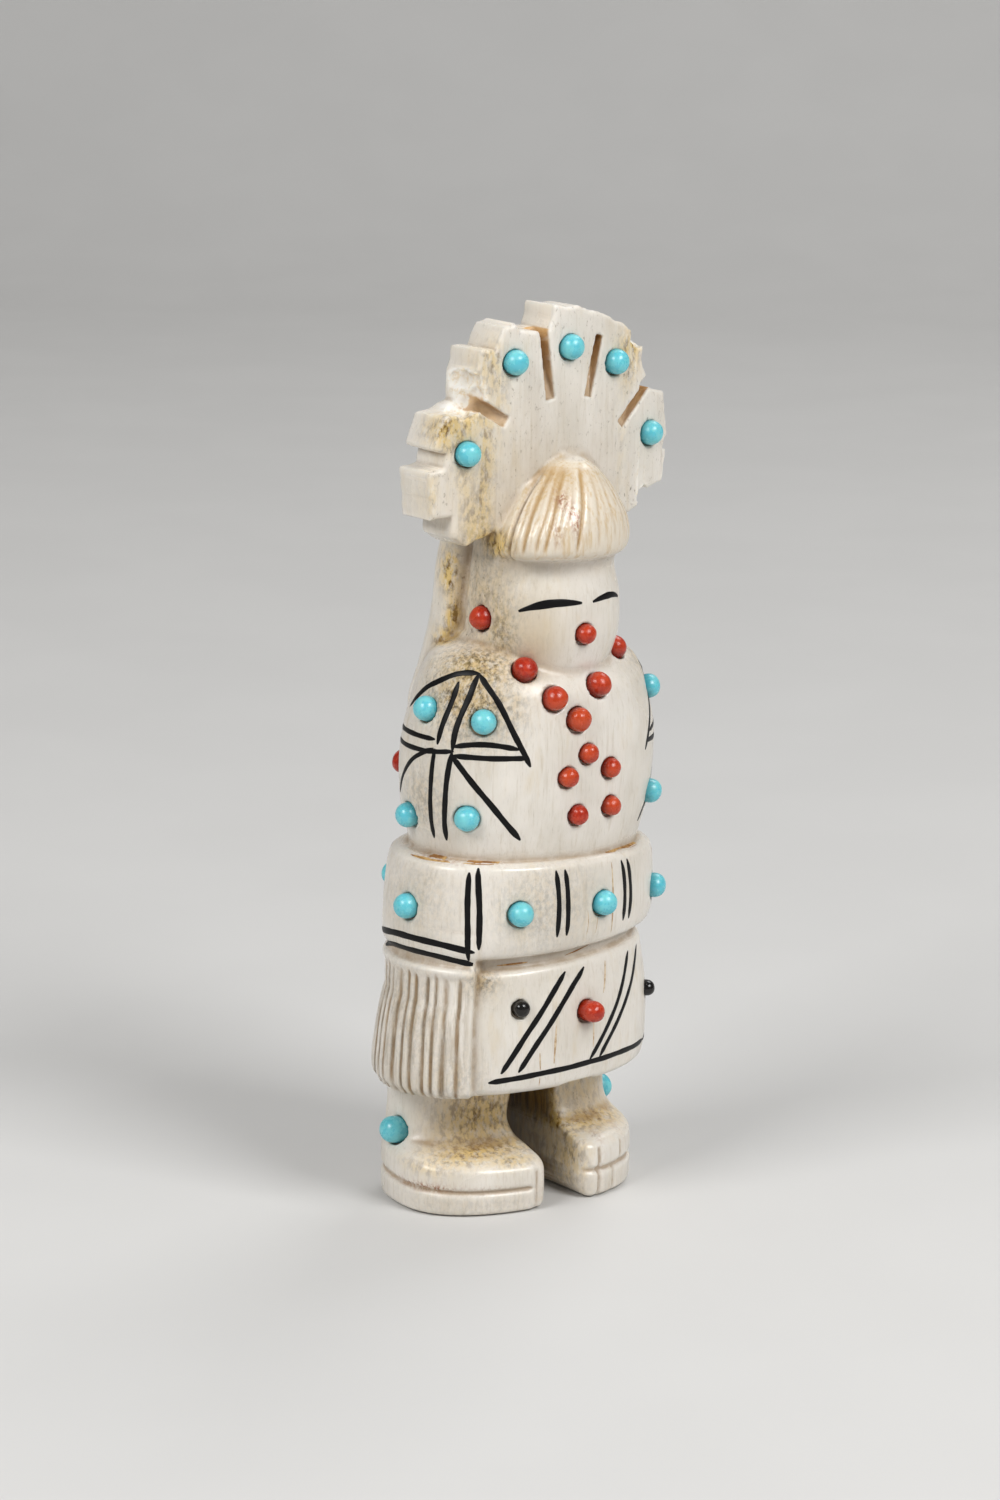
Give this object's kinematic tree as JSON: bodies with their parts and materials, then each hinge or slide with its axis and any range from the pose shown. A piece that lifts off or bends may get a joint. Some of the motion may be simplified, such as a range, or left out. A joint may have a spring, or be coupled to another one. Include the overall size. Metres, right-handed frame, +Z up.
{
  "type": "fetish carving",
  "caption": "Standing carved antler figure with a notched fan headdress, combed hair, belt, fringed sash and skirt, set with round bead stones of turquoise, coral and jet.",
  "frame": {"origin": "middle of the bounding box at the plane of the soles", "axes": "+Z up along the figure's height; the figure faces -Y and its right side is at -X"},
  "size_m": [0.0374, 0.027, 0.1038],
  "materials": {
    "antler": "ivory-coloured antler, polished on the dress and face, pitted and stained in the hollows",
    "turquoise": "polished turquoise",
    "coral": "polished red coral",
    "jet": "polished jet"
  },
  "bodies": {
    "root": {"carving": "antler", "fan_bead_1": "turquoise", "fan_bead_2": "turquoise", "fan_bead_3": "turquoise", "fan_bead_4": "turquoise", "fan_bead_5": "turquoise", "ear_bead_1": "coral", "ear_bead_2": "coral", "mouth_bead_1": "coral", "necklace_bead_1": "coral", "necklace_bead_2": "coral", "necklace_bead_3": "coral", "necklace_bead_4": "coral", "necklace_bead_5": "coral", "pendant_bead_1": "coral", "pendant_bead_2": "coral", "pendant_bead_3": "coral", "pendant_bead_4": "coral", "pendant_bead_5": "coral", "right_shoulder_bead_1": "turquoise", "right_shoulder_bead_2": "turquoise", "right_shoulder_bead_3": "turquoise", "right_shoulder_bead_4": "turquoise", "left_shoulder_bead_1": "turquoise", "left_shoulder_bead_2": "turquoise", "left_shoulder_bead_3": "turquoise", "left_shoulder_bead_4": "turquoise", "back_bead_1": "coral", "belt_bead_1": "turquoise", "belt_bead_2": "turquoise", "belt_bead_3": "turquoise", "belt_bead_4": "turquoise", "belt_bead_5": "turquoise", "belt_bead_6": "turquoise", "belt_bead_7": "turquoise", "skirt_jet_bead_1": "jet", "skirt_jet_bead_2": "jet", "skirt_jet_bead_3": "jet", "skirt_coral_bead_1": "coral", "skirt_coral_bead_2": "coral", "skirt_coral_bead_3": "coral", "ankle_bead_1": "turquoise", "ankle_bead_2": "turquoise"}
  },
  "joints": []
}
